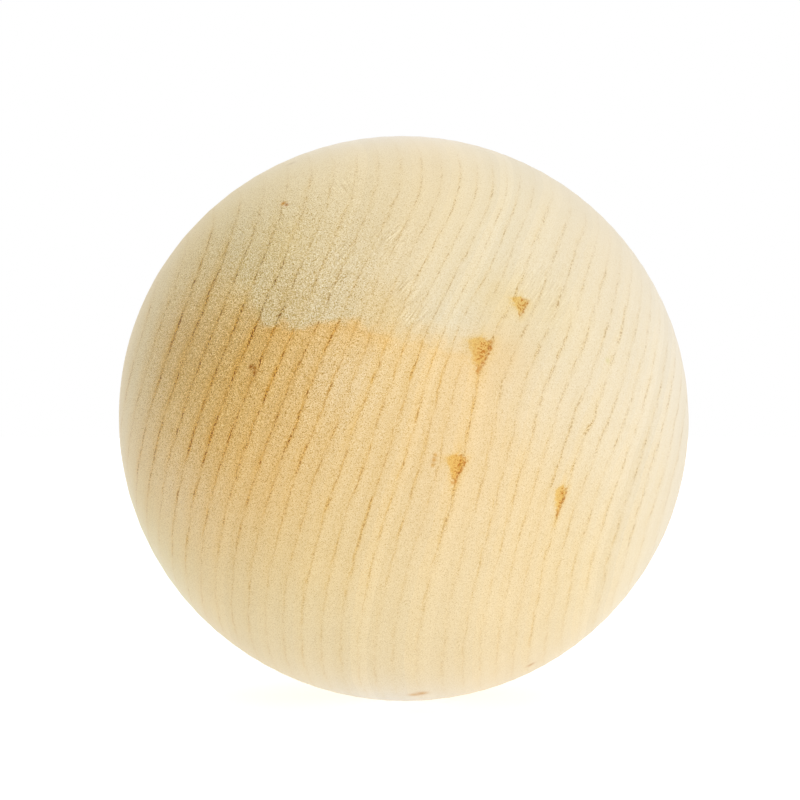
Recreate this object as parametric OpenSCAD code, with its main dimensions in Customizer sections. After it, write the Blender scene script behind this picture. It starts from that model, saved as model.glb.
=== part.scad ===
// Plain turned wooden ball.
// It is one piece, turned between centres from a single block and sanded all over, with no hole,
// flat or finish. Turning leaves it a little shorter from end to end, along the grain, than it is
// across the grain, so its true form is a slightly flattened round and not a perfect sphere.
// The origin is the middle of the ball and +Z is up. The turning axis follows the grain. As the
// ball lies, its upper end tips forwards, towards -Y, and leans to the right, towards +X.

/* [Ball] */
// Diameter across the grain, at the widest place
ball_d = 60; // [20:0.5:150]
// Length from end to end along the turning axis
ball_length = 58.9; // [19.5:0.1:150]

/* [Lie] */
// How far the turning axis tips forwards from upright, in degrees
axis_tip = 43; // [-90:1:90]
// How far the turning axis leans to the right, in degrees
axis_lean = 13.5; // [-90:0.5:90]

/* [Hidden] */

$fn = 128;

// How much shorter the round is along its axis than across it
length_ratio = ball_length / ball_d;

// Half of the turned outline, from the axis outwards: x is the distance from the turning axis
// and y runs along it.
module turned_outline() {
    intersection() {
        scale([1, length_ratio])
            circle(d = ball_d);
        translate([0, -ball_length])
            square([ball_d, 2 * ball_length]);
    }
}

// The whole ball: the outline swept once round the turning axis, which is then tipped and leaned.
module ball() {
    color("burlywood")
        rotate([axis_tip, axis_lean, 0])
            rotate_extrude()
                turned_outline();
}

ball();
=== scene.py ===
# %% [markdown]
# # A plain wooden ball
#
# This lesson dresses a turned wooden ball of 60 mm.
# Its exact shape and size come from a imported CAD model,
# and everything here is in metres, in the same frame.
# The ball lies as it came to rest: the grain, and so the turning axis,
# tips forwards and leans a little to the right.

# %% Load the CAD frame
import math

import bpy
import numpy as np
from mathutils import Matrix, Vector


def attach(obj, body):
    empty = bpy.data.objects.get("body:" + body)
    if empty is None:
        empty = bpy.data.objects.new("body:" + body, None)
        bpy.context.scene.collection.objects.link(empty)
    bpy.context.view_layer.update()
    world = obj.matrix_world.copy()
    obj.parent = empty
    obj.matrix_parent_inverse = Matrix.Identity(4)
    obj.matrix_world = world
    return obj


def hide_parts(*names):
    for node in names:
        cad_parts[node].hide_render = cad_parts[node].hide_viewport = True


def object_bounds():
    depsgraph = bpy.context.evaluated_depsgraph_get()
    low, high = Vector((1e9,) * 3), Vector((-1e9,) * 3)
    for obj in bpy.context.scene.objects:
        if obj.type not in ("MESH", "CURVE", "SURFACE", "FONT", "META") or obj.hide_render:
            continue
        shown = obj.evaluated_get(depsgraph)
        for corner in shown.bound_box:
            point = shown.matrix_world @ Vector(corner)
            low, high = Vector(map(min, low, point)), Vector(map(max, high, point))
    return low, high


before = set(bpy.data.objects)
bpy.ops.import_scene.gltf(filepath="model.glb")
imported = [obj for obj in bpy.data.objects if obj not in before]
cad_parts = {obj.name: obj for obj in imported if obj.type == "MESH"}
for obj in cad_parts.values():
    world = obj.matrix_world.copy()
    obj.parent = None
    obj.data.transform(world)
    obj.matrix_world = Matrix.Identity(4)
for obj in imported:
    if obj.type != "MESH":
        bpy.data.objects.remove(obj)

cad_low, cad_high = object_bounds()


def in_mm(metres):
    """Metres as millimetres, for printing."""
    return round(1000 * metres, 2)


print("CAD box in mm:", [in_mm(side) for side in cad_high - cad_low])

# %% [markdown]
# ## The grain, in plain numbers
#
# A growth ring is a sleeve round the pith, the middle line of the trunk.
# The ball was cut well away from the pith, so its rings are nearly flat sheets,
# and on the outside of the ball they show as a set of long, slightly bowed lines.
# Three directions at right angles say how the wood lies:
# along the fibres, straight out from the pith, and round the ring.
# They are needed twice, for the mesh and for the finish, so they come first.

# %% Which way the wood lies
BALL_RADIUS = 0.030
LENGTH_RATIO = 58.9 / 60
AXIS_TIP = math.radians(43)
AXIS_LEAN = math.radians(13.5)
OUT_FROM_PITH = Vector((0.982, 0.062, -0.177))

fibre_way = Vector((
    math.cos(AXIS_TIP) * math.sin(AXIS_LEAN),
    -math.sin(AXIS_TIP),
    math.cos(AXIS_TIP) * math.cos(AXIS_LEAN),
))
outward_way = (OUT_FROM_PITH - OUT_FROM_PITH.dot(fibre_way) * fibre_way).normalized()
round_way = outward_way.cross(fibre_way)
print("fibres run along", [round(part, 3) for part in fibre_way])

# %% [markdown]
# ## How the rings are spaced
#
# A young tree grows wide rings and an old one narrow rings, so the ring number climbs
# as a logarithm of the way out from the pith. Some years were better than others, the
# trunk tapers, bows and twists, and in places the rings bulge.
# The numbers were fitted to a real ball's ring lines by another program, not chosen here.
# All lengths here are in ball radii: 1 is the distance from the middle to the skin.

# %% The numbers behind the rings
PITH_DISTANCE = 2.109
TRUNK_TAPER = -0.014
TRUNK_BOW = 0.016
TRUNK_TWIST = 0.088
RING_COUNT_SCALE = 47.04
RING_NARROWING = 0.353
MIDDLE_RING = 13.34

# Years that were better or worse than their neighbours: size in rings, place, spread.
GOOD_YEARS = (0.687, 0.285, 0.119)
POOR_YEARS = (-0.943, 0.393, 0.267)

# Bulges: height, x, z and reach. The first two are near pin knots. The last two nearly
# cancel, and only bend the lines high on the right.
RING_SWELLINGS = (
    (0.073, 0.275, 0.181, 0.307),
    (0.020, 0.470, -0.339, 0.327),
    (0.180, 0.345, 0.624, 0.306),
    (-0.161, 0.278, 0.664, 0.300),
)
ring_gap = BALL_RADIUS / (RING_COUNT_SCALE * RING_NARROWING)
print("rings through the middle are", in_mm(ring_gap), "mm apart")

# %% [markdown]
# Knots and other marks are named by where they are seen on the front: how far right, x,
# and how far up, z. How far forwards the skin is there, y, is found by halving: guess,
# see whether the guess lies outside the ball or inside it, and halve what is left.

# %% Find a spot on the front of the ball
HALVINGS = 30


def on_front(x, z):
    """The point on the front of the slightly oval ball with this x and z."""
    near, far = -1.0, 0.0
    for _ in range(HALVINGS):
        point = Vector((x, (near + far) / 2, z))
        rounded = point + (1 / LENGTH_RATIO - 1) * fibre_way.dot(point) * fibre_way
        if rounded.length > 1:
            near = point.y
        else:
            far = point.y
    return point


print("the front of the ball is at y =", round(on_front(0, 0).y, 3), "ball radii")

# %% [markdown]
# ## The room: camera, floor, backdrop and light
#
# A small pale object is mostly shown on a white sweep in soft light from all round.
# The camera is level with the middle of the ball and aims a touch above it.
# An operator acts on all that is selected, and the CAD comes in selected, so everything
# is deselected before something new is added.

# %% The camera
LENS = 100
SENSOR = 36
NEAREST_SEEN = 0.005
SIGHT_DISTANCE = 0.2358
AIM_UP = math.radians(0.4538)
AIM_LEFT = math.radians(0.0954)

middle = (cad_low + cad_high) / 2
bpy.ops.object.select_all(action="DESELECT")
bpy.ops.object.camera_add(
    location=(middle.x, middle.y - SIGHT_DISTANCE, middle.z),
    rotation=(math.radians(90) + AIM_UP, 0, AIM_LEFT),
)
camera = bpy.context.object
camera.name = "bench_camera"
camera.data.lens = LENS
camera.data.sensor_width = SENSOR
camera.data.clip_start = NEAREST_SEEN
bpy.context.scene.camera = camera
bpy.context.scene.view_settings.view_transform = "Standard"
print("camera stands", in_mm(SIGHT_DISTANCE), "mm off")

# %% [markdown]
# ## Words for wiring shader nodes
#
# A procedural finish is a long sum made of nodes.
# Clicking them together by hand would take an hour, so a few helpers do it:
# most of them add one node, join what it is given, and hand back its output.

# %% Helpers for numbers and directions
def join(tree, socket, value):
    """Joins an output to a socket, or types a plain value into it."""
    if isinstance(value, bpy.types.NodeSocket):
        tree.links.new(value, socket)
    else:
        socket.default_value = value


def plug_in(tree, node, **values):
    """Joins values to a node's inputs by name; underscores stand for spaces."""
    for name, value in values.items():
        join(tree, node.inputs[name.replace("_", " ")], value)
    return node.outputs


def calc(tree, operation, *values):
    """A Math node."""
    node = tree.nodes.new("ShaderNodeMath")
    node.operation = operation
    for socket, value in zip(node.inputs, values):
        join(tree, socket, value)
    return node.outputs[0]


def times(tree, product, *others):
    """The product of all the values: one Math node for each after the first."""
    for other in others:
        product = calc(tree, "MULTIPLY", product, other)
    return product


def add_share(tree, base, value, share):
    """A Multiply Add node: the base, and this share of the value on top."""
    return calc(tree, "MULTIPLY_ADD", value, share, base)


def vector_calc(tree, operation, *values):
    """A Vector Math node: Scale takes its factor last."""
    node = tree.nodes.new("ShaderNodeVectorMath")
    node.operation = operation
    sockets = [node.inputs[0], node.inputs[1]]
    if operation == "SCALE":
        sockets = [node.inputs[0], node.inputs["Scale"]]
    for socket, value in zip(sockets, values):
        join(tree, socket, value)
    gives_number = operation in ("DOT_PRODUCT", "LENGTH", "DISTANCE")
    return node.outputs["Value" if gives_number else "Vector"]


print("helpers for numbers and directions are ready")

# %% [markdown]
# Most masks in a finish are a value that fades from one level to another, or a hump.
# A Map Range node does the first. Its levels are kept together here as
# (low, high, new low, new high), and just (low, high) means from 0 up to 1.

# %% Helpers for fades, humps and noise
def spread(tree, value, low, high, new_low=0.0, new_high=1.0, smooth=True):
    """A Map Range node: low to high becomes new_low to new_high, held at both ends."""
    node = tree.nodes.new("ShaderNodeMapRange")
    node.interpolation_type = "SMOOTHSTEP" if smooth else "LINEAR"
    for socket, number in zip(node.inputs, (value, low, high, new_low, new_high)):
        join(tree, socket, number)
    return node.outputs[0]


def bell(tree, value, middle_at, width):
    """A smooth hump: 1 where value is middle_at, falling to nothing past width."""
    off = calc(tree, "DIVIDE", calc(tree, "SUBTRACT", value, middle_at), width)
    return calc(tree, "EXPONENT", times(tree, off, off, -1.0))


def near_spot(tree, place, x, z, size):
    """A hump round the spot on the front with this x and z."""
    away = vector_calc(tree, "DISTANCE", place, on_front(x, z))
    return bell(tree, away, 0.0, size)


def grain_noise(tree, place, scale, detail=2.0, roughness=0.5):
    """A Noise node's value, which swings round 0.5."""
    node = tree.nodes.new("ShaderNodeTexNoise")
    plug_in(tree, node, Vector=place, Scale=scale, Detail=detail, Roughness=roughness)
    return node.outputs[0]


def swing(tree, place, scale, detail=2.0, roughness=0.5):
    """The same noise, swinging round 0."""
    return calc(tree, "SUBTRACT", grain_noise(tree, place, scale, detail, roughness), 0.5)


def chance(tree, number):
    """A White Noise node: a fixed random value for each whole number."""
    node = tree.nodes.new("ShaderNodeTexWhiteNoise")
    node.noise_dimensions = "1D"
    return plug_in(tree, node, W=number)["Value"]


print("helpers for fades, humps and noise are ready")

# %% [markdown]
# A node group is a small machine with named plugs, built once and used in many places.
# Colours are laid over each other with a Mix node: a tint in Multiply mode is like a
# thin stain, which darkens the wood but lets what is under it show through.

# %% Helpers for groups and colours
NUMBER = "NodeSocketFloat"
ARROW = "NodeSocketVector"


def new_group(name, takes, gives):
    """An empty node group with named sockets, with its input and output nodes."""
    group = bpy.data.node_groups.new(name, "ShaderNodeTree")
    for label, kind in takes:
        group.interface.new_socket(name=label, in_out="INPUT", socket_type=kind)
    for label, kind in gives:
        group.interface.new_socket(name=label, in_out="OUTPUT", socket_type=kind)
    return group, group.nodes.new("NodeGroupInput"), group.nodes.new("NodeGroupOutput")


def place_group(tree, group, **values):
    """Puts a group into a tree, and plugs these values in."""
    node = tree.nodes.new("ShaderNodeGroup")
    node.node_tree = group
    return plug_in(tree, node, **values)


def blend_colours(tree, factor, first, second, mode="MIX"):
    """A Mix Color node."""
    node = tree.nodes.new("ShaderNodeMix")
    node.data_type = "RGBA"
    node.blend_type = mode
    join(tree, node.inputs[0], factor)
    join(tree, node.inputs[6], first)
    join(tree, node.inputs[7], second)
    return node.outputs[2]


def stained(tree, amount, colour, tint):
    """The colour, multiplied by the tint as far as amount says."""
    return blend_colours(tree, amount, colour, tint, "MULTIPLY")


print("helpers for groups and colours are ready")

# %% [markdown]
# ## Floor and backdrop
#
# The floor is matt white paper. Its own soft glow is seen only by the camera and in
# reflections, which lifts the lit paper to plain white and leaves the contact shadow.
# The paper throws no light back up and casts no shadow: the room's own light, which
# comes from below too, stands in for what a white table would send back.

# %% The floor
FLOOR_SIZE = 6.0
PAPER_WHITE = (0.86, 0.86, 0.86, 1)
PAPER_ROUGHNESS = 0.9
PAPER_GLOW = 0.55
PLAIN_WHITE = (1, 1, 1, 1)


def seen_rays(tree):
    """1 for camera, glossy and transmission rays, 0 for the rays that light things."""
    rays = tree.nodes.new("ShaderNodeLightPath")
    seen = calc(tree, "MAXIMUM", rays.outputs["Is Camera Ray"], rays.outputs["Is Glossy Ray"])
    return calc(tree, "MAXIMUM", seen, rays.outputs["Is Transmission Ray"])


bpy.ops.object.select_all(action="DESELECT")
bpy.ops.mesh.primitive_plane_add(size=FLOOR_SIZE, location=(0, 0, cad_low.z))
floor = bpy.context.object
floor.name = "white_paper_floor"

paper = bpy.data.materials.new("matt_white_paper")
paper.use_nodes = True
paper_tree = paper.node_tree
plug_in(
    paper_tree, paper_tree.nodes["Principled BSDF"],
    Base_Color=PAPER_WHITE, Roughness=PAPER_ROUGHNESS, Specular_IOR_Level=0.0,
    Emission_Color=PLAIN_WHITE,
    Emission_Strength=times(paper_tree, seen_rays(paper_tree), PAPER_GLOW),
)
floor.data.materials.append(paper)
floor.visible_diffuse = False
floor.visible_shadow = False
print("the floor is", FLOOR_SIZE, "m wide, at a height of", in_mm(cad_low.z), "mm")

# %% [markdown]
# The backdrop is the world itself. It looks plain white, but as a lamp it is dimmer,
# and weakest at the sides, so that the ball keeps some shape in a bright white room.

# %% The world
SIDE_LIGHT = 0.55
UP_DOWN_EXTRA = 0.55

world = bpy.data.worlds.new("white_room")
bpy.context.scene.world = world
world.use_nodes = True
room_tree = world.node_tree
way = room_tree.nodes.new("ShaderNodeTexCoord").outputs["Generated"]
way_parts = room_tree.nodes.new("ShaderNodeSeparateXYZ")
way_up = plug_in(room_tree, way_parts, Vector=way)["Z"]
as_lamp = add_share(room_tree, SIDE_LIGHT, times(room_tree, way_up, way_up), UP_DOWN_EXTRA)
room_glow = calc(room_tree, "MAXIMUM", as_lamp, seen_rays(room_tree))
plug_in(room_tree, room_tree.nodes["Background"], Color=PLAIN_WHITE, Strength=room_glow)
print("light from the sides:", SIDE_LIGHT, "and from above:", SIDE_LIGHT + UP_DOWN_EXTRA)

# %% [markdown]
# ## The lamp
#
# One large softbox stands in front on the right, a little above the ball. It makes the
# right side the bright one and gives the ball its roundness. It is hidden from
# reflections too, because bare wood mirrors no lamp.

# %% The softbox
LAMP_PLACE = Vector((0.40, -0.52, 0.06))
LAMP_SIZE = 0.40
LAMP_WATTS = 1.45

lamp_look = (middle - LAMP_PLACE).to_track_quat("-Z", "Y").to_euler()
bpy.ops.object.light_add(type="AREA", location=LAMP_PLACE, rotation=lamp_look)
lamp = bpy.context.object
lamp.name = "key_softbox"
lamp.data.shape = "SQUARE"
lamp.data.size = LAMP_SIZE
lamp.data.energy = LAMP_WATTS
lamp.visible_camera = False
lamp.visible_glossy = False
print("the lamp stands", in_mm((LAMP_PLACE - middle).length), "mm from the ball")

# %% [markdown]
# ## The turned ball
#
# The real ball was turned between centres, sanded, and dried a little out of round:
# it is 60 mm across and 58.9 mm along the grain.
# A lathe's way, spinning half an outline, would leave a ring of slivers at each pole,
# and one pole faces the camera. A cube rounded into a ball has even faces all over,
# so the fine relief that follows sits well everywhere. Subdivision cuts it fine, and
# Cast pulls every point out to the same distance from the middle.

# %% A cube, cut fine and rounded
ROUNDING_LEVELS = 6


def apply_modifier(piece, kind, **settings):
    """Adds a modifier with these settings and applies it at once."""
    modifier = piece.modifiers.new(kind.lower(), kind)
    for name, value in settings.items():
        setattr(modifier, name, value)
    bpy.context.view_layer.objects.active = piece
    bpy.ops.object.modifier_apply(modifier=modifier.name)


bpy.ops.object.select_all(action="DESELECT")
bpy.ops.mesh.primitive_cube_add(size=2 * BALL_RADIUS, location=(0, 0, 0))
ball = bpy.context.object
ball.name = "turned_ball"
bpy.ops.object.mode_set(mode="EDIT")
bpy.ops.mesh.select_all(action="SELECT")
bpy.ops.mesh.subdivide(number_cuts=1)
bpy.ops.object.mode_set(mode="OBJECT")
apply_modifier(ball, "SUBSURF", levels=ROUNDING_LEVELS, render_levels=ROUNDING_LEVELS)
apply_modifier(
    ball, "CAST", cast_type="SPHERE", factor=1.0, use_radius_as_size=False, size=BALL_RADIUS
)
print("the ball has", len(ball.data.polygons), "four-sided faces")

# %% [markdown]
# Wood shrinks far less along the grain than across it, and a lathe's ends are trimmed
# by hand, so a turned ball is seldom the same both ways. It is made shorter while it
# still stands upright, which is one plain resize, and is tipped afterwards.

# %% Shorter along the grain, then tipped as it lies
bpy.ops.object.mode_set(mode="EDIT")
bpy.ops.mesh.select_all(action="SELECT")
bpy.ops.transform.resize(value=(1, 1, LENGTH_RATIO), center_override=(0, 0, 0))
bpy.ops.object.mode_set(mode="OBJECT")
ball.rotation_euler = (AXIS_TIP, AXIS_LEAN, 0)
bpy.ops.object.transform_apply(location=True, rotation=True, scale=True)
print("tipped, the ball is", [in_mm(side) for side in ball.dimensions], "mm")

# %% [markdown]
# ## Relief: sanding, rings and knots
#
# Sandpaper takes a little more off soft wood than off hard wood.
# So the ball isn't a perfect round: it has slow flats of a few hundredths of a
# millimetre, the dark late wood of each ring stands just proud, and the pin knots
# sit in shallow dips. Weights in vertex groups say where, and Displace moves the skin.

# %% The rings, for points of the mesh
def ring_number(points):
    """The growth ring that passes through each point, given in ball radii."""
    out = PITH_DISTANCE + points @ np.array(outward_way)
    aside = points @ np.array(round_way)
    along = points @ np.array(fibre_way)
    reach = np.sqrt(out**2 + aside**2) - PITH_DISTANCE
    reach += along * (TRUNK_TAPER + TRUNK_BOW * along + TRUNK_TWIST * aside)
    for height, x, z, size in RING_SWELLINGS:
        away = ((points - np.array(on_front(x, z))) ** 2).sum(axis=1)
        reach += height * np.exp(-away / size**2)
    number = MIDDLE_RING - RING_COUNT_SCALE * np.log(1 - RING_NARROWING * reach)
    for years, place, size in (GOOD_YEARS, POOR_YEARS):
        number += years * np.exp(-(((reach - place) / size) ** 2))
    return number


def skin_points(piece):
    """The mesh's points as rows of x, y, z in ball radii."""
    flat = np.empty(3 * len(piece.data.vertices))
    piece.data.vertices.foreach_get("co", flat)
    return flat.reshape(-1, 3) / BALL_RADIUS


points = skin_points(ball)
rings = ring_number(points)
print("growth rings on the ball:", round(float(rings.max() - rings.min())))

# %% [markdown]
# A vertex group holds a weight from 0 to 1 for each point, as if painted on by hand. Here
# the weights are worked out: highest in the late wood beside each ring, and at the knots.

# %% Weigh the late wood and the knots
PIN_KNOTS = (
    # name, x, z, half width, half height, in ball radii
    ("heart", 0.362, 0.354, 0.034, 0.033),
    ("wedge", 0.229, 0.200, 0.044, 0.062),
    ("blot", 0.155, -0.156, 0.036, 0.050),
    ("sliver", 0.490, -0.262, 0.022, 0.054),
)
LATE_WOOD_SHARE = 0.22
WEIGHT_STEPS = 24


def weigh(piece, name, weights):
    """A vertex group with these weights, in a few steps so that it is quick."""
    group = piece.vertex_groups.new(name=name)
    steps = np.rint(np.clip(weights, 0, 1) * WEIGHT_STEPS).astype(int)
    for step in range(1, WEIGHT_STEPS + 1):
        members = np.flatnonzero(steps == step)
        if len(members):
            group.add(members.tolist(), step / WEIGHT_STEPS, "REPLACE")
    return group.name


from_ring = (rings + 0.5) % 1 - 0.5
late_wood = np.exp(-((from_ring / LATE_WOOD_SHARE) ** 2))
dips = np.zeros(len(points))
for name, x, z, half_width, half_height in PIN_KNOTS:
    away = np.linalg.norm(points - np.array(on_front(x, z)), axis=1)
    dips += np.exp(-((away / half_height) ** 2))
late_group = weigh(ball, "late_wood", late_wood)
dip_group = weigh(ball, "knot_dips", dips)
print("points in late wood:", int((late_wood > 0.5).sum()), "in knots:", int((dips > 0.5).sum()))

# %% [markdown]
# Displace moves each point along its normal, by its weight times the strength. Sanding
# works on the whole ball, so it takes a slow clouds texture instead of weights.

# %% Move the skin
SANDING_FLATS = 0.00010
SANDING_FLAT_SIZE = 0.018
LATE_WOOD_PROUD = 0.000025
KNOT_DIP = 0.00008

sanding = bpy.data.textures.new("slow_sanding_flats", "CLOUDS")
sanding.noise_scale = SANDING_FLAT_SIZE
sanding.noise_depth = 1
apply_modifier(
    ball, "DISPLACE", texture=sanding, texture_coords="LOCAL",
    strength=SANDING_FLATS, mid_level=0.5,
)
for weights, strength in ((late_group, LATE_WOOD_PROUD), (dip_group, -KNOT_DIP)):
    apply_modifier(ball, "DISPLACE", vertex_group=weights, strength=strength, mid_level=0)
ball.vertex_groups.clear()
bpy.ops.object.shade_smooth()
moved = np.linalg.norm(skin_points(ball), axis=1) - np.linalg.norm(points, axis=1)
print("relief in mm:", in_mm(BALL_RADIUS * moved.min()), "to", in_mm(BALL_RADIUS * moved.max()))

# %% [markdown]
# ## Growth rings as a node group
#
# The same sum as above, now in nodes, so that the finish and the relief agree.
# It takes the place in the wood and gives the ring number there, how far apart
# the rings are, and a place stretched along the rings, for marks that follow them.

# %% The growth-ring group
ring_group, ring_in, ring_out = new_group(
    "growth_rings",
    [("Place", ARROW), ("Wander", NUMBER)],
    [("Ring", NUMBER), ("Spacing", NUMBER), ("Reach", NUMBER), ("Along Rings", ARROW)],
)
ring_place = ring_in.outputs["Place"]
outwards = vector_calc(ring_group, "DOT_PRODUCT", ring_place, outward_way)
out = calc(ring_group, "ADD", outwards, PITH_DISTANCE)
aside = vector_calc(ring_group, "DOT_PRODUCT", ring_place, round_way)
along = vector_calc(ring_group, "DOT_PRODUCT", ring_place, fibre_way)
from_pith = add_share(ring_group, times(ring_group, aside, aside), out, out)
from_pith = calc(ring_group, "SQRT", from_pith)
reach = calc(ring_group, "SUBTRACT", from_pith, PITH_DISTANCE)
slope = add_share(ring_group, TRUNK_TAPER, along, TRUNK_BOW)
slope = add_share(ring_group, slope, aside, TRUNK_TWIST)
reach = add_share(ring_group, reach, along, slope)
for height, x, z, size in RING_SWELLINGS:
    swelling = near_spot(ring_group, ring_place, x, z, size)
    reach = add_share(ring_group, reach, swelling, height)
reach = calc(ring_group, "ADD", reach, ring_in.outputs["Wander"])

narrowing = calc(ring_group, "SUBTRACT", 1.0, times(ring_group, reach, RING_NARROWING))
logarithm = calc(ring_group, "LOGARITHM", narrowing, math.e)
number = add_share(ring_group, MIDDLE_RING, logarithm, -RING_COUNT_SCALE)
for years, year_place, size in (GOOD_YEARS, POOR_YEARS):
    number = add_share(ring_group, number, bell(ring_group, reach, year_place, size), years)
spacing = calc(ring_group, "DIVIDE", narrowing, RING_COUNT_SCALE * RING_NARROWING)
print("the sum for the ring number takes", len(ring_group.nodes), "nodes")

# %% [markdown]
# Dashes and other marks that follow the rings need a noise that is drawn out along them.
# So the group also gives a place that is shrunk along the rings but not across them.

# %% A place drawn out along the rings
ALONG_SHARE = 0.16

flat_reach = times(ring_group, reach, 1 - ALONG_SHARE)
flat_part = vector_calc(ring_group, "SCALE", outward_way, flat_reach)
round_part = vector_calc(ring_group, "SCALE", ring_place, ALONG_SHARE)
along_rings = vector_calc(ring_group, "ADD", round_part, flat_part)
plug_in(
    ring_group, ring_out, Ring=number, Spacing=spacing, Reach=reach, Along_Rings=along_rings
)
print("growth_rings has", len(ring_group.nodes), "nodes")

# %% [markdown]
# ## Ring lines as a node group
#
# Close up, a ring line isn't an even stripe. It is a row of tiny dark beads, the ends
# of cut cells, on a thin tan line, with a wider orange stain on the pith side and a few
# pale glints, painted highlights where the sanding has lifted a fibre and it catches the
# light. One group draws all four, from how far a point lies from the nearest ring, in
# millimetres.

# %% How far from the nearest ring, and how strong that year is
MM = 0.001 / BALL_RADIUS
YEAR_STRENGTH = (0, 1, 0.68, 1.15)
PATCHY_SCALE = 40.0
PATCHY_STRENGTH = (0.34, 0.64, 0.60, 1.25)

line_group, line_in, line_out = new_group(
    "ring_lines",
    [("Ring", NUMBER), ("Spacing", NUMBER), ("Along Rings", ARROW), ("Place", ARROW)],
    [("Stain", NUMBER), ("Line", NUMBER), ("Beads", NUMBER), ("Glints", NUMBER),
     ("Year", NUMBER)],
)
ring = line_in.outputs["Ring"]
long_place = line_in.outputs["Along Rings"]
year = calc(line_group, "FLOOR", calc(line_group, "ADD", ring, 0.5))
across = times(
    line_group, calc(line_group, "SUBTRACT", ring, year), line_in.outputs["Spacing"]
)
across_mm = calc(line_group, "DIVIDE", across, MM)
year_strength = spread(line_group, chance(line_group, year), *YEAR_STRENGTH, smooth=False)
patchy = grain_noise(line_group, long_place, PATCHY_SCALE)
patchy = spread(line_group, patchy, *PATCHY_STRENGTH)
line_strength = times(line_group, year_strength, patchy)
print("a year's line is", YEAR_STRENGTH[2], "to", YEAR_STRENGTH[3], "of the usual strength")

# %% The four parts of a line: widths and sides in millimetres
STAIN_WIDTH = 0.55
STAIN_SIDE = -0.22
LINE_WIDTH = 0.17
LINE_SIDE = -0.04
BEAD_WIDTH = 0.115
GLINT_WIDTH = 0.16
GLINT_SIDE = -0.19
BEAD_ROUNDNESS = 0.60
BEAD_SCALE = 250.0
BEADS_SHOW = (0.49, 0.59)
GLINT_SCALE = 310.0
GLINTS_SHOW = (0.58, 0.70)
DASH_SCALE = 130.0
LINE_DASHES = (0.40, 0.60, 0.30, 1.30)
BEAD_DASHES = (0.43, 0.57, 0.30, 1.40)
OTHER_CHANCE = 71.3

long_part = vector_calc(line_group, "SCALE", long_place, 1 - BEAD_ROUNDNESS)
round_part = vector_calc(line_group, "SCALE", line_in.outputs["Place"], BEAD_ROUNDNESS)
bead_place = vector_calc(line_group, "ADD", long_part, round_part)
beads = spread(line_group, grain_noise(line_group, bead_place, BEAD_SCALE, 0.0), *BEADS_SHOW)
dash_noise = grain_noise(line_group, long_place, DASH_SCALE, 1.0)
bead_dashes = spread(line_group, dash_noise, *BEAD_DASHES)
beads = times(line_group, bell(line_group, across_mm, 0.0, BEAD_WIDTH), beads, bead_dashes)
# the glints are painted highlights just to the pith side of each line
glints = spread(line_group, grain_noise(line_group, bead_place, GLINT_SCALE, 0.0), *GLINTS_SHOW)
glints = times(line_group, bell(line_group, across_mm, GLINT_SIDE, GLINT_WIDTH), glints)
line_dashes = spread(line_group, dash_noise, *LINE_DASHES)
line = times(line_group, bell(line_group, across_mm, LINE_SIDE, LINE_WIDTH), line_dashes)
stain = bell(line_group, across_mm, STAIN_SIDE, STAIN_WIDTH)
for label, value in (("Stain", stain), ("Line", line), ("Beads", beads), ("Glints", glints)):
    join(line_group, line_out.inputs[label], times(line_group, value, line_strength))
year_chance = chance(line_group, calc(line_group, "ADD", year, OTHER_CHANCE))
plug_in(line_group, line_out, Year=year_chance)
print("ring_lines has", len(line_group.nodes), "nodes")

# %% [markdown]
# ## Pin knots as a node group
#
# A pin knot is the trace of a tiny side shoot. On the ball it is an orange blot,
# wide above and pointed below, with a dark right edge and a few darker grains in it.
# One group draws any of them from its place and size. It works in two numbers:
# side, from left to right, and rise, from below to above, both about 1 at the knot's edge.

# %% The outline of a knot
LINE_WAY = Vector((0.25, 0.0, 0.97)).normalized()
CROSS_WAY = Vector((0.97, 0.0, -0.25)).normalized()
RAGGED_SIDE = 0.65
RAGGED_RISE = 0.4
ROOM = (-1.25, 0.55, 0.0, 1.0)
LEAN = 0.45
SPIKE_FROM = 0.45
SPIKE_SLANT = -0.7
TOP_CUT = (0.45, 1.15, 0.0, 1.1)
KNOT_NEAR = (1.3, 2.2, 1.0, 0.0)

knot_group, knot_in, knot_out = new_group(
    "pin_knot",
    [("Place", ARROW), ("Middle", ARROW), ("Half Width", NUMBER), ("Half Height", NUMBER),
     ("Ragged", NUMBER), ("Grains", NUMBER)],
    [("Halo", NUMBER), ("Blot", NUMBER), ("Core", NUMBER), ("Edge", NUMBER)],
)
half_height_in = knot_in.outputs["Half Height"]
from_knot = vector_calc(
    knot_group, "SUBTRACT", knot_in.outputs["Place"], knot_in.outputs["Middle"]
)
ragged_by = calc(knot_group, "SUBTRACT", knot_in.outputs["Ragged"], 0.5)
side = vector_calc(knot_group, "DOT_PRODUCT", from_knot, CROSS_WAY)
side = calc(knot_group, "DIVIDE", side, knot_in.outputs["Half Width"])
side = add_share(knot_group, side, ragged_by, RAGGED_SIDE)
rise = vector_calc(knot_group, "DOT_PRODUCT", from_knot, LINE_WAY)
rise = calc(knot_group, "DIVIDE", rise, half_height_in)
rise = add_share(knot_group, rise, ragged_by, RAGGED_RISE)

room = spread(knot_group, rise, *ROOM, smooth=False)
spike = calc(knot_group, "MAXIMUM", calc(knot_group, "SUBTRACT", side, SPIKE_FROM), 0.0)
slanted = add_share(knot_group, rise, spike, SPIKE_SLANT)
over = spread(knot_group, slanted, *TOP_CUT)
lean_by = add_share(knot_group, LEAN, room, -LEAN)
lean_side = calc(knot_group, "SUBTRACT", side, lean_by)
inside = calc(knot_group, "SUBTRACT", room, calc(knot_group, "ABSOLUTE", lean_side))
inside = calc(knot_group, "SUBTRACT", inside, over)
farness = calc(knot_group, "DIVIDE", vector_calc(knot_group, "LENGTH", from_knot), half_height_in)
near = spread(knot_group, farness, *KNOT_NEAR)
print("the outline of a knot takes", len(knot_group.nodes), "nodes")

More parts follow.
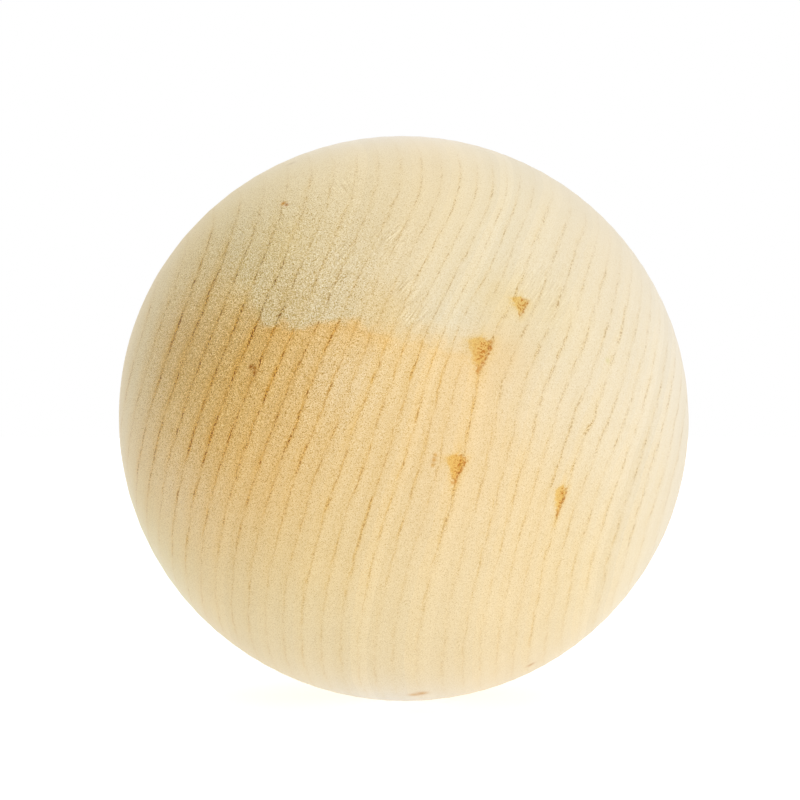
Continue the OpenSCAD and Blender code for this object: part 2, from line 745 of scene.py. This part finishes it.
# %% The four parts of a knot
HALO_SHOWS = (-0.75, 0.35)
BLOT_SHOWS = (-0.05, 0.40)
CORE_SHOWS = (0.05, 0.50)
CORE_GRAINS = (0.50, 0.62, 0.12, 1.0)
CORE_SIDE = (-0.35, 0.25, 0.35, 1.0)
EDGE_AT = 0.14
EDGE_WIDTH = 0.11
EDGE_GRAINS = (0.40, 0.56, 0.25, 1.0)
EDGE_SIDE = (0.0, 0.35)
EDGE_TOP = (0.5, 1.1, 1.0, 0.3)
TIP_AT = -0.85
TIP_WIDTH = 0.24
TIP_SHOWS = (0.0, 0.18)
TIP_STRENGTH = 0.7

grains = knot_in.outputs["Grains"]
halo = times(knot_group, spread(knot_group, inside, *HALO_SHOWS), near)
blot = times(knot_group, spread(knot_group, inside, *BLOT_SHOWS), near)
core = times(
    knot_group,
    spread(knot_group, inside, *CORE_SHOWS),
    spread(knot_group, grains, *CORE_GRAINS),
    spread(knot_group, lean_side, *CORE_SIDE),
)
edge = times(
    knot_group,
    bell(knot_group, inside, EDGE_AT, EDGE_WIDTH),
    spread(knot_group, lean_side, *EDGE_SIDE),
    spread(knot_group, grains, *EDGE_GRAINS),
    spread(knot_group, rise, *EDGE_TOP),
)
tip = times(
    knot_group,
    bell(knot_group, rise, TIP_AT, TIP_WIDTH),
    spread(knot_group, inside, *TIP_SHOWS),
    TIP_STRENGTH,
)
edge = calc(knot_group, "MAXIMUM", edge, tip)
for label, value in (("Halo", halo), ("Blot", blot), ("Core", core), ("Edge", edge)):
    join(knot_group, knot_out.inputs[label], times(knot_group, value, near))
print("pin_knot has", len(knot_group.nodes), "nodes")

# %% [markdown]
# ## The wood: finding places on it
#
# The finish is a block of wood worked out as a sum, and the ball shows what its skin
# cuts through. Object coordinates say where a point lies in metres, and a Mapping node
# turns that into ball radii, the unit used above. An image wrapped round the ball would
# be simpler, but its rings wouldn't run through the wood and close on the other side.

# %% Where things are on the wood
wood = bpy.data.materials.new("sanded_bare_wood")
wood.use_nodes = True
tree = wood.node_tree
skin = tree.nodes["Principled BSDF"]

in_metres = tree.nodes.new("ShaderNodeTexCoord").outputs["Object"]
in_radii = tree.nodes.new("ShaderNodeMapping")
place = plug_in(tree, in_radii, Vector=in_metres, Scale=(1 / BALL_RADIUS,) * 3)["Vector"]
parts = tree.nodes.new("ShaderNodeSeparateXYZ")
right, back, height = plug_in(tree, parts, Vector=place)
print("the skin lies 1 ball radius out, which is", in_mm(BALL_RADIUS), "mm")

# %% [markdown]
# ## Rings that wander
#
# No ring is a perfect sleeve. A slow noise bends each line a little, a finer one makes
# it tremble, and small cells shift it in steps, as rows of wood cells do. Moving the
# ring number moves all the parts of a line together, so the wander goes into the group.

# %% The rings, with a slight wander and small steps
SLOW_SCALE = 6.0
SLOW_WANDER = 0.40
FINE_SCALE = 40.0
FINE_WANDER = 0.10
STEP_SCALE = 24.0
STEP = 0.07

slow = swing(tree, place, SLOW_SCALE, 1.0)
fine = swing(tree, place, FINE_SCALE)
cells = tree.nodes.new("ShaderNodeTexVoronoi")
cell_colour = plug_in(tree, cells, Vector=place, Scale=STEP_SCALE)["Color"]
step_parts = tree.nodes.new("ShaderNodeSeparateColor")
steps = calc(tree, "SUBTRACT", plug_in(tree, step_parts, Color=cell_colour)[0], 0.5)
wander = times(tree, slow, SLOW_WANDER * MM)
wander = add_share(tree, wander, fine, FINE_WANDER * MM)
wander = add_share(tree, wander, steps, STEP * MM)
rings_here = place_group(tree, ring_group, Place=place, Wander=wander)
lines_here = place_group(
    tree, line_group,
    Ring=rings_here["Ring"], Spacing=rings_here["Spacing"],
    Along_Rings=rings_here["Along Rings"], Place=place,
)
print("a line wanders by up to", round((SLOW_WANDER + FINE_WANDER + STEP) / 2, 2), "mm")

# %% [markdown]
# ## Colour from the pith side to the bark side
#
# The wood is honey towards the pith and cream towards the bark. A Color Ramp read with
# the way out from the pith gives that, and follows the rings. Three ramps are needed:
# the end grain above is greyer, and the low part of the ball is paler than the middle.
# Where the stops lie was chosen; their colours were fitted by another program.

# %% Three colour runs
MIDDLE_RUN = (
    (0.05, (0.914, 0.742, 0.423)),
    (0.15, (0.888, 0.616, 0.231)),
    (0.27, (0.915, 0.601, 0.209)),
    (0.38, (0.955, 0.658, 0.284)),
    (0.50, (0.936, 0.693, 0.355)),
    (0.66, (0.939, 0.711, 0.395)),
    (0.76, (0.910, 0.712, 0.418)),
    (0.95, (0.941, 0.743, 0.411)),
)
UPPER_RUN = (
    (0.10, (0.898, 0.738, 0.408)),
    (0.28, (0.908, 0.751, 0.449)),
    (0.45, (0.895, 0.741, 0.467)),
    (0.60, (0.870, 0.756, 0.530)),
    (0.78, (0.871, 0.752, 0.537)),
    (0.92, (0.909, 0.812, 0.629)),
)
LOWER_RUN = (
    (0.10, (0.955, 0.930, 0.592)),
    (0.30, (0.953, 0.764, 0.425)),
    (0.50, (0.955, 0.776, 0.459)),
    (0.80, (0.938, 0.747, 0.444)),
    (0.95, (0.941, 0.782, 0.487)),
)


def colour_run(tree, value, stops):
    """A Color Ramp with these stops."""
    node = tree.nodes.new("ShaderNodeValToRGB")
    ramp = node.color_ramp
    while len(ramp.elements) < len(stops):
        ramp.elements.new(0.5)
    for element, (position, colour) in zip(ramp.elements, stops):
        element.position = position
        element.color = (*colour, 1)
    join(tree, node.inputs[0], value)
    return node.outputs[0]


pith_to_bark = spread(tree, rings_here["Reach"], -1.0, 1.0, smooth=False)
middle_colour = colour_run(tree, pith_to_bark, MIDDLE_RUN)
lower_colour = colour_run(tree, pith_to_bark, LOWER_RUN)
upper_colour = colour_run(tree, pith_to_bark, UPPER_RUN)
print("colour stops:", len(MIDDLE_RUN), len(LOWER_RUN), len(UPPER_RUN))

# %% [markdown]
# ## The edge of the end grain
#
# The upper end of the grain faces forwards, and there the ball shows cut fibre ends,
# which drink in light and look greyer. Their lower edge is sharp and ragged in the
# middle and fades out on both sides. It is drawn as a height that changes from left
# to right; the mask is how far a point lies above it, divided by how soft the edge is.

# %% The height of the edge
EDGE_HEIGHT = 0.260
EDGE_SLOPE = -0.09
EDGE_BEND_PLACE = -0.19
EDGE_BEND_WIDTH = 0.11
EDGE_BEND = 0.024
LEFT_CORNER = -0.43
LEFT_RISE = 0.50
RIGHT_CORNER = 0.18
RIGHT_FALL = -0.90
RAGGED_EDGE = 0.10
# Two noises: scale, detail and roughness.
EDGE_WAVES = (12.0, 3.0, 0.6)
CLOUDS = (3.5, 3.0, 0.5)


def past(tree, value, edge, direction=1):
    """How far value is past an edge, and 0 before it."""
    beyond = add_share(tree, -direction * edge, value, direction)
    return calc(tree, "MAXIMUM", beyond, 0.0)


edge_wave = swing(tree, place, *EDGE_WAVES)
left_of = past(tree, right, LEFT_CORNER, -1)
right_of = past(tree, right, RIGHT_CORNER)
edge_height = add_share(tree, EDGE_HEIGHT, right, EDGE_SLOPE)
edge_height = add_share(tree, edge_height, left_of, LEFT_RISE)
edge_height = add_share(tree, edge_height, right_of, RIGHT_FALL)
bend = bell(tree, right, EDGE_BEND_PLACE, EDGE_BEND_WIDTH)
edge_height = add_share(tree, edge_height, bend, EDGE_BEND)
edge_height = add_share(tree, edge_height, edge_wave, RAGGED_EDGE)
above = calc(tree, "SUBTRACT", height, edge_height)
print("the edge lies", in_mm(BALL_RADIUS * EDGE_HEIGHT), "mm above the middle of the ball")

# %% How soft the edge is, and the other end of the grain
SHARP = 0.016
LEFT_BLUR = 1.6
FREER = -0.26
FREER_BLUR = 0.12
RIGHT_BLUR = 1.0
FRONT_ONLY = (0.5, 0.0)
FAR_END = (-0.84, -0.78, 0.85, 0.0)
LOWER_PART = (-0.70, -0.04, 1.0, 0.0)
LOWER_CLOUDS = 0.15

blur = add_share(tree, SHARP, left_of, LEFT_BLUR)
blur = add_share(tree, blur, past(tree, right, FREER), FREER_BLUR)
blur = add_share(tree, blur, right_of, RIGHT_BLUR)
end_grain = spread(tree, calc(tree, "DIVIDE", above, blur), -1.0, 1.0)
end_grain = times(tree, end_grain, spread(tree, back, *FRONT_ONLY))
along_fibres = vector_calc(tree, "DOT_PRODUCT", place, fibre_way)
far_end = spread(tree, add_share(tree, along_fibres, edge_wave, RAGGED_EDGE), *FAR_END)
end_grain = calc(tree, "MAXIMUM", end_grain, far_end)

cloudy = swing(tree, place, *CLOUDS)
lower = spread(tree, add_share(tree, height, cloudy, LOWER_CLOUDS), *LOWER_PART)
colour = blend_colours(tree, lower, middle_colour, lower_colour)
colour = blend_colours(tree, end_grain, colour, upper_colour)
print("the edge is", in_mm(BALL_RADIUS * 2 * SHARP), "mm wide where it is sharpest")

# %% [markdown]
# ## Soft patches
#
# Wood is never one even colour: sap, handling and the lie of the fibres leave soft
# patches that are paler, yellower or more orange. Each is a hump round a spot, laid over
# as a thin stain. Three are painted light instead: the grey patch on the left is painted
# shade on the side turned away from the softbox, and the two bluish-white patches at the
# top and the bottom are painted reflections of the white room along the rims.

# %% Large soft patches
SOFT_PATCHES = (
    # name, x, z, size, tint
    # painted shade: greys the left, the side turned away from the softbox
    ("painted_core_shade", -0.55, 0.34, 0.42, (0.88, 0.88, 0.88, 1)),
    ("orange_by_wedge", 0.31, 0.20, 0.10, (1.00, 0.91, 0.76, 1)),
    ("yellow_over_wedge", 0.31, 0.37, 0.10, (1.00, 0.95, 0.82, 1)),
    ("yellow_right", 0.48, 0.33, 0.13, (1.00, 0.98, 0.91, 1)),
    ("yellow_high_left", -0.40, 0.56, 0.11, (1.00, 0.97, 0.86, 1)),
    ("yellow_over_edge", -0.06, 0.33, 0.09, (1.00, 0.93, 0.78, 1)),
    ("beige_over_edge", -0.38, 0.36, 0.10, (0.96, 0.91, 0.80, 1)),
    ("light_by_corner", -0.55, 0.37, 0.11, (1.07, 1.05, 0.98, 1)),
    ("olive_left", -0.74, 0.27, 0.16, (0.99, 0.95, 0.89, 1)),
    ("pale_spot", -0.20, 0.12, 0.10, (1.03, 1.08, 1.24, 1)),
    ("pale_low_left", -0.76, -0.16, 0.20, (1.05, 1.13, 1.52, 1)),
    ("yellow_low", -0.33, -0.42, 0.24, (1.00, 0.97, 0.89, 1)),
    # painted reflections: the white room whitening the top and bottom rims
    ("painted_rim_reflection_top", -0.10, 0.99, 0.32, (1.04, 1.14, 1.55, 1)),
    ("painted_rim_reflection_foot", -0.05, -0.97, 0.25, (0.99, 1.08, 1.42, 1)),
)
for name, x, z, size, tint in SOFT_PATCHES:
    colour = stained(tree, near_spot(tree, place, x, z, size), colour, tint)
print("soft patches:", len(SOFT_PATCHES))

# %% [markdown]
# Just under the sharp part of the edge the wood is a touch warmer, in a thin, broken
# fringe. It uses the same height above the edge, so it follows the edge everywhere.

# %% Warmer just under the edge
FRINGE_TINT = (1.00, 0.97, 0.90, 1)
FRINGE_AT = -0.035
FRINGE_WIDTH = 0.035
FRINGE_LEFT = (-0.46, -0.38)
FRINGE_RIGHT = (0.18, 0.30, 1.0, 0.0)
FRINGE_BREAKS = (-0.20, 0.15, 0.2, 1.0)

fringe = times(
    tree,
    bell(tree, above, FRINGE_AT, FRINGE_WIDTH),
    spread(tree, right, *FRINGE_LEFT),
    spread(tree, right, *FRINGE_RIGHT),
    spread(tree, edge_wave, *FRINGE_BREAKS),
)
colour = stained(tree, fringe, colour, FRINGE_TINT)
print("the fringe is", in_mm(BALL_RADIUS * -FRINGE_AT), "mm under the edge")

# %% [markdown]
# Each year's wood is a little lighter or darker than the next, and large slow clouds run
# over all of it. Both only scale the colour, so its hue stays as it is.

# %% Each year a little different
MEAN_TONE = 1.019
YEAR_SWING = 0.025
CLOUD_SWING = 0.08
YEAR_TONES = (0, 1, MEAN_TONE - YEAR_SWING, MEAN_TONE + YEAR_SWING)

year_tone = spread(tree, lines_here["Year"], *YEAR_TONES, smooth=False)
cloud_tone = add_share(tree, year_tone, cloudy, CLOUD_SWING)
colour = vector_calc(tree, "SCALE", colour, cloud_tone)
print("years differ by up to", round(200 * YEAR_SWING, 1), "percent")

# %% [markdown]
# ## Specks and pores
#
# Sanded wood sparkles: cut cells make specks lighter and darker than their
# surroundings, and open pores make small dark dots. Fine noise gives both. They are
# partly the wood's own colour and partly painted shade and light of the sanding relief,
# so they are strongest in a patch on the left, where the softbox light grazes the skin.
# The specks swing round 1 and multiply the colour, so that they don't change its average.

# %% How strong the specks are from place to place
RAKING_LIGHT_SPOT = (-0.60, 0.27, 0.46)
SPECK_EVERYWHERE = 0.57
SPECK_RAKING_LIGHT_PATCH = 2.5
BELT = (0.20, 0.62, 0.50, 1.0)
CAP_FROM_LEFT = (-0.60, -0.30)
CAP_CALM = (-0.30, 0.20, 0.05, -0.30)

# painted shade and light: this hump makes specks and pores strongest where the softbox light
# grazes the sanding relief
patch = near_spot(tree, place, *RAKING_LIGHT_SPOT)
belt = spread(tree, calc(tree, "ABSOLUTE", back), *BELT)
cap_calm = times(
    tree, end_grain, spread(tree, right, *CAP_FROM_LEFT), spread(tree, right, *CAP_CALM)
)
cap_calm = calc(tree, "ADD", cap_calm, 1.0)
speck_strength = add_share(tree, SPECK_EVERYWHERE, patch, SPECK_RAKING_LIGHT_PATCH)
speck_strength = times(tree, speck_strength, cap_calm, belt)
print("patch specks:", round(1 + SPECK_RAKING_LIGHT_PATCH / SPECK_EVERYWHERE, 1), "times as strong")

# %% Specks, pores and glints
SPECK_SCALE = 400.0
SPECK_COLOUR = Vector((0.54, 0.77, 1.50))
MOTE_SCALE = 140.0
MOTE_SHARE = 0.20
PORE_SCALE = 300.0
PORE_SHIFT = (3.1, 0.7, 1.9)
PORES_SHOW = (0.39, 0.28)
PORE_DEPTH = 0.66
PORE_TINT = (0.62, 0.49, 0.20, 1)
GLINT_DOTS_SHOW = (0.64, 0.76)
GLINT_DOT_STRENGTH = 0.30
PAINTED_GLINT_TINT = (1.10, 1.18, 1.35, 1)
ONE_EACH = (1.0, 1.0, 1.0)

speck_noise = grain_noise(tree, place, SPECK_SCALE, 0.0)
specks = calc(tree, "SUBTRACT", speck_noise, 0.5)
motes = swing(tree, place, MOTE_SCALE, 1.0)
speck_sum = times(tree, add_share(tree, specks, motes, MOTE_SHARE), speck_strength)
speck_tone = vector_calc(tree, "SCALE", SPECK_COLOUR, speck_sum)
speck_tone = vector_calc(tree, "ADD", speck_tone, ONE_EACH)
colour = vector_calc(tree, "MULTIPLY", colour, speck_tone)

pore_place = vector_calc(tree, "ADD", place, PORE_SHIFT)
pore_noise = grain_noise(tree, pore_place, PORE_SCALE, 0.0)
pores = times(tree, spread(tree, pore_noise, *PORES_SHOW), speck_strength)
colour = stained(tree, times(tree, pores, PORE_DEPTH), colour, PORE_TINT)
# the glint dots are painted highlights: pale specks where a raised fibre would catch the light
glint_dots = times(tree, spread(tree, pore_noise, *GLINT_DOTS_SHOW), speck_strength)
colour = stained(tree, times(tree, glint_dots, GLINT_DOT_STRENGTH), colour, PAINTED_GLINT_TINT)
print("specks are about", in_mm(BALL_RADIUS / SPECK_SCALE), "mm across")

# %% [markdown]
# ## Torn fibres
#
# Where the tool met fibre ends it tore a few of them, and left small patches of fine,
# parallel strokes. Their light and dark in the colour is mostly painted shade and light
# of the torn fibres, and the bump below adds a little real relief. A noise squeezed
# along one direction gives strokes, and humps say where they show. The directions lie
# in the skin at their spots, or the strokes would run into the wood and look like dots.

# %% Fine hatching on the end grain
HATCH_SCALE = 200.0
HATCH_SHARE = 0.08
HATCH_STRENGTH = 0.6
HATCH_COLOUR = Vector((0.80, 1.05, 1.50))
RISING = Vector((0.599, 0.349, 0.721))
FALLING = Vector((-0.360, 0.760, 0.541))
STEEP = Vector((0.472, 0.563, 0.679))
HATCHES = (
    # which way, how strong, and the spots: x, z, size
    (RISING, 1.0, ((-0.192, 0.530, 0.050), (-0.045, 0.575, 0.065), (-0.206, 0.424, 0.050),
                   (0.002, 0.405, 0.045), (0.033, 0.315, 0.045))),
    (FALLING, 1.0, ((-0.200, 0.760, 0.050), (-0.380, 0.650, 0.045))),
    (STEEP, 0.45, ((0.430, 0.400, 0.130),)),
)
hatching = 0.0
for way, share, spots in HATCHES:
    along_way = vector_calc(tree, "DOT_PRODUCT", place, way)
    along_way = times(tree, along_way, 1 - HATCH_SHARE)
    drawn_out = vector_calc(tree, "SUBTRACT", place, vector_calc(tree, "SCALE", way, along_way))
    strokes = times(tree, swing(tree, drawn_out, HATCH_SCALE, 0.0), share)
    where = 0.0
    for x, z, size in spots:
        where = calc(tree, "ADD", near_spot(tree, place, x, z, size), where)
    hatching = add_share(tree, hatching, strokes, where)
# painted shade and light: the strokes lighten and darken the colour as the torn fibres' own
# shading would
painted_hatch_shading = vector_calc(tree, "SCALE", HATCH_COLOUR, times(tree, hatching, HATCH_STRENGTH))
painted_hatch_shading = vector_calc(tree, "ADD", painted_hatch_shading, ONE_EACH)
colour = vector_calc(tree, "MULTIPLY", colour, painted_hatch_shading)
print("hatched patches:", sum(len(spots) for way, share, spots in HATCHES))

# %% [markdown]
# ## Ring lines over the wood
#
# The lines are strongest on the honey side, weaker over the end grain and low down, and
# nearly gone where the skin runs level with the rings. Each part of a line has its own
# stain: the beads are dark brown, more olive high on the left. The masks are worked out
# once, and then the four parts go on in turn, from the widest to the finest.

# %% How strongly the lines show
LINE_SPOT = (-0.57, 0.17, 0.50)
HIGH_RIGHT_SPOT = (0.45, 0.45, 0.32)
LINES_EVERYWHERE = 0.31
LINES_PATCH = 0.52
RIGHT_LIFT = (0.15, 0.50, 1.0, 1.22)
HIGH_RIGHT_LIFT = 0.35
CAP_FADE_LEFT = (-0.65, -0.30)
CAP_LINES = (0, 1, 1.0, 0.40)
LOWER_LINES = (0, 1, 1.0, 0.58)
RIM_FRONT = (-0.60, -0.30)
RIM_BACK = (-0.10, 0.25, 1.0, 0.0)
RIM_HEIGHT = (0.25, 0.55)
RIM_LINES = (0, 1, 1.0, 0.4)

line_patch = near_spot(tree, place, *LINE_SPOT)
high_right = near_spot(tree, place, *HIGH_RIGHT_SPOT)
far_right = add_share(tree, spread(tree, right, *RIGHT_LIFT), high_right, HIGH_RIGHT_LIFT)
cap_fade = times(tree, end_grain, spread(tree, right, *CAP_FADE_LEFT))
rim = times(
    tree,
    spread(tree, back, *RIM_FRONT),
    spread(tree, back, *RIM_BACK),
    spread(tree, height, *RIM_HEIGHT),
)
line_show = times(
    tree,
    add_share(tree, LINES_EVERYWHERE, line_patch, LINES_PATCH),
    far_right,
    spread(tree, cap_fade, *CAP_LINES, smooth=False),
    spread(tree, lower, *LOWER_LINES, smooth=False),
    belt,
    spread(tree, rim, *RIM_LINES),
)
print("lines show at", LINES_EVERYWHERE, "of full strength, and more in the patch")

# %% Stain, line, beads and glints
OLIVE_SPOT = (-0.62, 0.34, 0.34)
CAP_BEADS = 1.10
RIGHT_BEADS = (0.10, 0.45, 1.0, 0.95)
LOWER_BEADS = (0, 1, 1.0, 0.75)
LEFT_BEADS = (-0.55, -0.15, 1.35, 1.0)
STAIN_TINT = (0.97, 0.86, 0.56, 1)
LINE_TINT = (0.92, 0.78, 0.44, 1)
BEAD_TINT_OLIVE = (0.26, 0.16, 0.00, 1)
BEAD_TINT_RED = (0.38, 0.20, 0.00, 1)

bead_lift = times(
    tree,
    add_share(tree, spread(tree, right, *RIGHT_BEADS), cap_fade, CAP_BEADS),
    spread(tree, lower, *LOWER_BEADS),
    spread(tree, right, *LEFT_BEADS),
)
olive_patch = near_spot(tree, place, *OLIVE_SPOT)
bead_tint = blend_colours(tree, olive_patch, BEAD_TINT_RED, BEAD_TINT_OLIVE)
# stain, line and beads are the wood's own colour; the glints are painted highlights
for part, tint, share in (
    ("Stain", STAIN_TINT, 0.78),
    ("Line", LINE_TINT, 1.1),
    ("Beads", bead_tint, 0.95),
    ("Glints", PAINTED_GLINT_TINT, 2.0),
):
    shown = times(tree, lines_here[part], line_show, share)
    if part == "Beads":
        shown = times(tree, shown, bead_lift)
    colour = stained(tree, calc(tree, "MINIMUM", shown, 1.0), colour, tint)
print("the ring lines are on, after", len(tree.nodes), "nodes")

# %% [markdown]
# ## Knots and flecks
#
# The knots go on last, because their resin soaks through all the rest. Each is the
# knot group again, with its own place and size. Two noises, shared by all four,
# make the outlines ragged and put dark grains inside.

# %% The four pin knots
RAGGED_SCALE = 85.0
KNOT_GRAIN_SCALE = 150.0
HALO_TINT = (0.99, 0.93, 0.76, 1)
KNOT_TINT = (0.98, 0.87, 0.55, 1)
KNOT_CORE_TINT = (0.66, 0.39, 0.15, 1)
KNOT_EDGE_TINT = (0.64, 0.37, 0.12, 1)

ragged = grain_noise(tree, place, RAGGED_SCALE)
knot_grains = grain_noise(tree, place, KNOT_GRAIN_SCALE, 1.0, 0.6)
for name, x, z, half_width, half_height in PIN_KNOTS:
    knot = place_group(
        tree, knot_group, Place=place, Middle=on_front(x, z),
        Half_Width=half_width, Half_Height=half_height, Ragged=ragged, Grains=knot_grains,
    )
    for part, tint in (
        ("Halo", HALO_TINT),
        ("Blot", KNOT_TINT),
        ("Core", KNOT_CORE_TINT),
        ("Edge", KNOT_EDGE_TINT),
    ):
        colour = stained(tree, knot[part], colour, tint)
print("pin knots:", ", ".join(knot[0] for knot in PIN_KNOTS))

# %% [markdown]
# A few flecks of bark, resin and dust are too small to have a shape of their own, so a
# plain hump does for each. Two or three together make a mark that isn't round.

# %% The flecks
FLECKS = (
    # name, x, z, size, tint
    ("flat_left", 0.035, -0.938, 0.020, (0.80, 0.54, 0.20, 1)),
    ("flat_right", 0.062, -0.930, 0.020, (0.76, 0.48, 0.14, 1)),
    ("low", 0.429, -0.834, 0.015, (0.72, 0.50, 0.20, 1)),
    ("high", -0.395, 0.703, 0.010, (0.75, 0.42, 0.00, 1)),
    ("high_right", -0.384, 0.697, 0.007, (0.55, 0.25, 0.00, 1)),
    ("left", -0.482, 0.161, 0.008, (0.53, 0.31, 0.01, 1)),
    ("left_middle", -0.469, 0.157, 0.007, (0.53, 0.31, 0.01, 1)),
    ("left_low", -0.471, 0.142, 0.007, (0.53, 0.31, 0.01, 1)),
    ("faint", -0.383, 0.867, 0.016, (0.86, 0.82, 0.76, 1)),
    ("beside_blot", 0.098, -0.116, 0.007, (0.84, 0.66, 0.38, 1)),
    ("under_that", 0.094, -0.131, 0.007, (0.80, 0.60, 0.32, 1)),
    ("under_both", 0.090, -0.147, 0.007, (0.88, 0.72, 0.46, 1)),
    ("green", 0.655, 0.183, 0.009, (0.92, 0.94, 0.78, 1)),
)
for name, x, z, size, tint in FLECKS:
    colour = stained(tree, near_spot(tree, place, x, z, size), colour, tint)
print("flecks:", len(FLECKS))

# %% [markdown]
# ## Roughness and fine relief
#
# Bare wood is neither shiny nor quite matt, and its cut fibre ends are the dullest.
# Specks, pores and torn fibres are also tiny bumps, far too small to model, so the same
# masks drive a Bump node. A little sheen stands for the fuzz that sanding leaves.

# %% Roughness, bump and sheen
SMOOTHEST = 0.40
PATCH_ROUGHER = 0.10
END_GRAIN_ROUGHER = 0.06
MOTES_ROUGHER = 0.15
PORE_PITS = 0.5
HATCH_BUMPS = 0.6
BUMP_STRENGTH = 0.5
BUMP_HEIGHT = 0.00004
SHINE = 0.22
FUZZ = 0.25
FUZZ_ROUGHNESS = 0.4

roughness = add_share(tree, SMOOTHEST, patch, PATCH_ROUGHER)
roughness = add_share(tree, roughness, end_grain, END_GRAIN_ROUGHER)
roughness = add_share(tree, roughness, motes, MOTES_ROUGHER)

bumps = times(tree, speck_noise, speck_strength)
bumps = calc(tree, "SUBTRACT", bumps, times(tree, pores, PORE_PITS))
bumps = add_share(tree, bumps, hatching, HATCH_BUMPS)
bump = tree.nodes.new("ShaderNodeBump")
bumpy = plug_in(tree, bump, Strength=BUMP_STRENGTH, Distance=BUMP_HEIGHT, Height=bumps)
plug_in(
    tree, skin, Base_Color=colour, Roughness=roughness, Normal=bumpy[0],
    Specular_IOR_Level=SHINE, Sheen_Weight=FUZZ, Sheen_Roughness=FUZZ_ROUGHNESS,
)
ball.data.materials.append(wood)
print("the wood has", len(tree.nodes), "nodes")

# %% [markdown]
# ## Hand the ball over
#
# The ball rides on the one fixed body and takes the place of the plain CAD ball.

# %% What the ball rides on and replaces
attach(ball, "root")
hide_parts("ball")
print(ball.name, "replaces the CAD ball")
